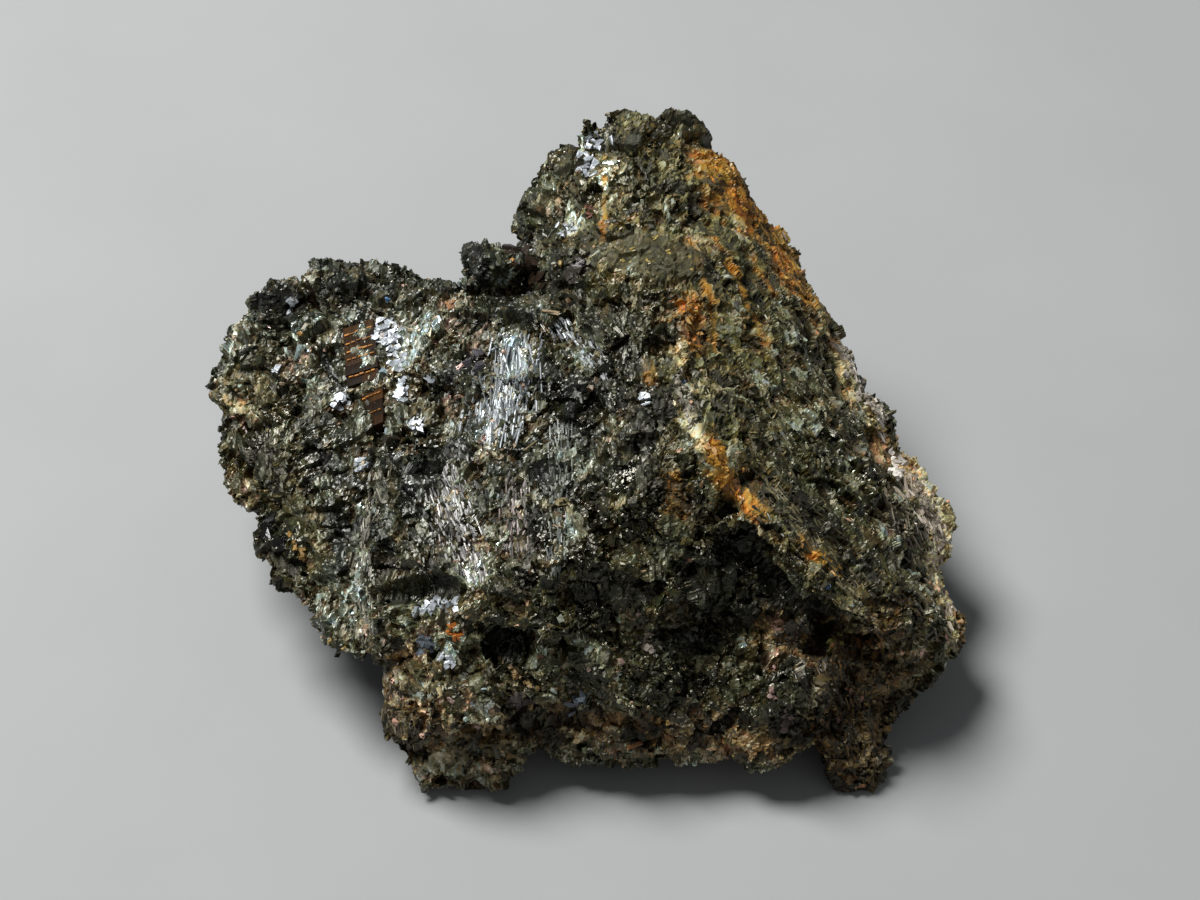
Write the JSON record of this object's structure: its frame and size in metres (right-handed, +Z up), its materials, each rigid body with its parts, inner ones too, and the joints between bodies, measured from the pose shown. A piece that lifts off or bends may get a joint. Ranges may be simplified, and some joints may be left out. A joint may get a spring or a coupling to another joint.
{
  "type": "raw nuummite",
  "caption": "Raw, unpolished lump of dark nuummite: blocky, with a flat left shoulder, a tall rear peak and a foliated right flank under a rust-stained ridge; rests on small feet.",
  "frame": {"origin": "centre of the stone's box, on the surface that it rests on", "axes": "+X to the right across the stone's longest extent, +Y away from the viewer towards the rear peak, +Z up"},
  "size_m": [0.0318, 0.0272, 0.0151],
  "materials": {
    "nuummite": "raw broken surface, glittering grains, rust stains"
  },
  "bodies": {
    "root": {"nuummite_rock": "nuummite"}
  },
  "joints": []
}
